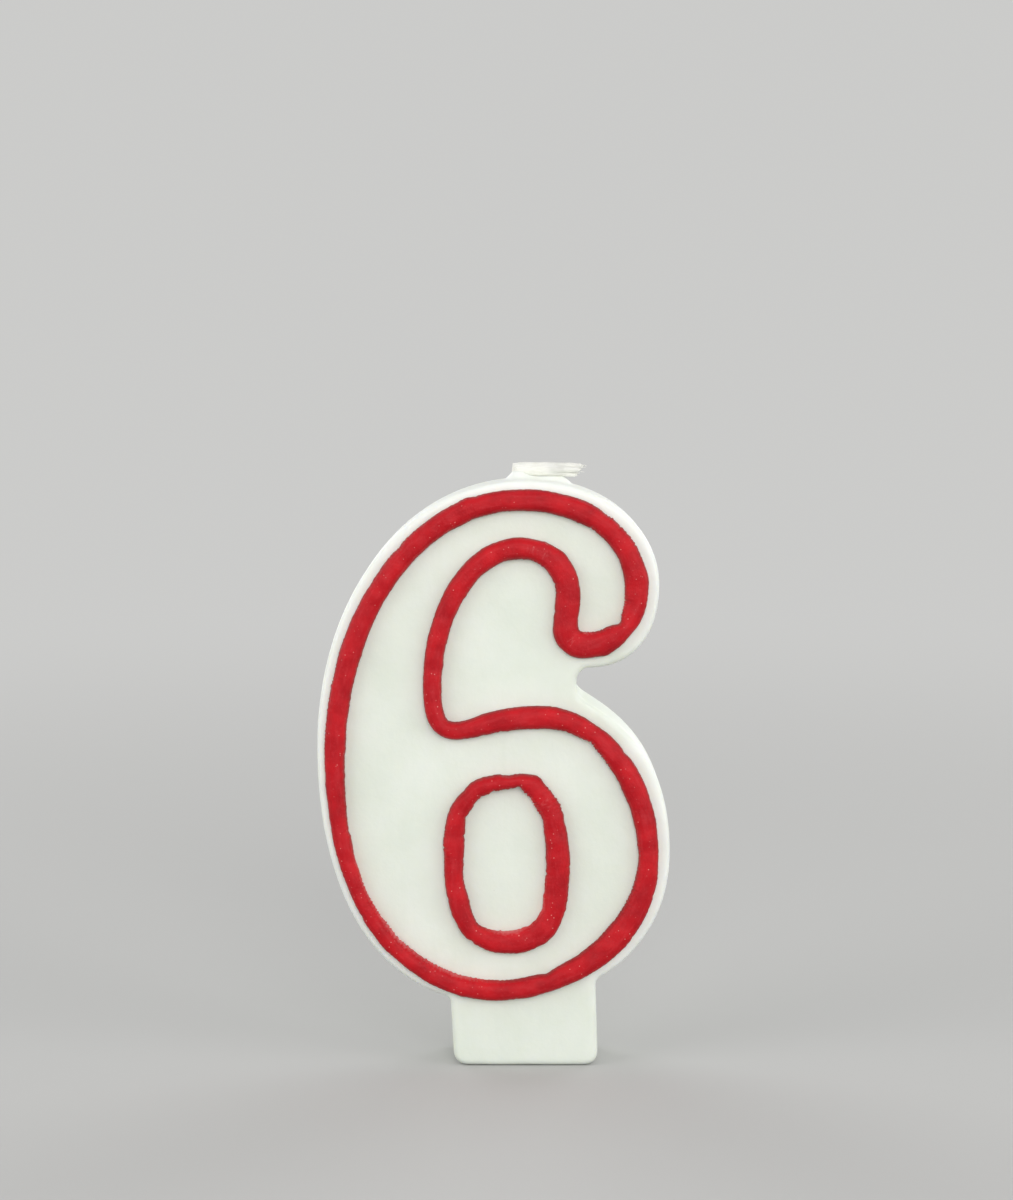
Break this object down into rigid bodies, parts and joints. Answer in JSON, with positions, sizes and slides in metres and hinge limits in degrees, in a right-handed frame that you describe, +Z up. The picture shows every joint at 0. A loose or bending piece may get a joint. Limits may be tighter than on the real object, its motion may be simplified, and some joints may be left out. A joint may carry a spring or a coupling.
{
  "type": "number candle",
  "caption": "White wax birthday candle shaped as the figure six on a flat foot, outlined with raised beads of red wax, with a bent cotton wick at the crown.",
  "frame": {"origin": "centre of the foot's underside, where the candle stands", "axes": "+Z up along the figure's height, +X to the right as the figure is read, the decorated front faces -Y"},
  "size_m": [0.0435, 0.0115, 0.0749],
  "materials": {
    "white_wax": "smooth cast paraffin wax, off-white with a faint green tint, satin",
    "red_wax": "piped red wax, satin",
    "waxed_cotton": "braided cotton dipped in wax"
  },
  "bodies": {
    "root": {"wax_body": "white_wax", "figure_bead": "red_wax", "counter_bead": "red_wax", "wick": "waxed_cotton"}
  },
  "joints": []
}
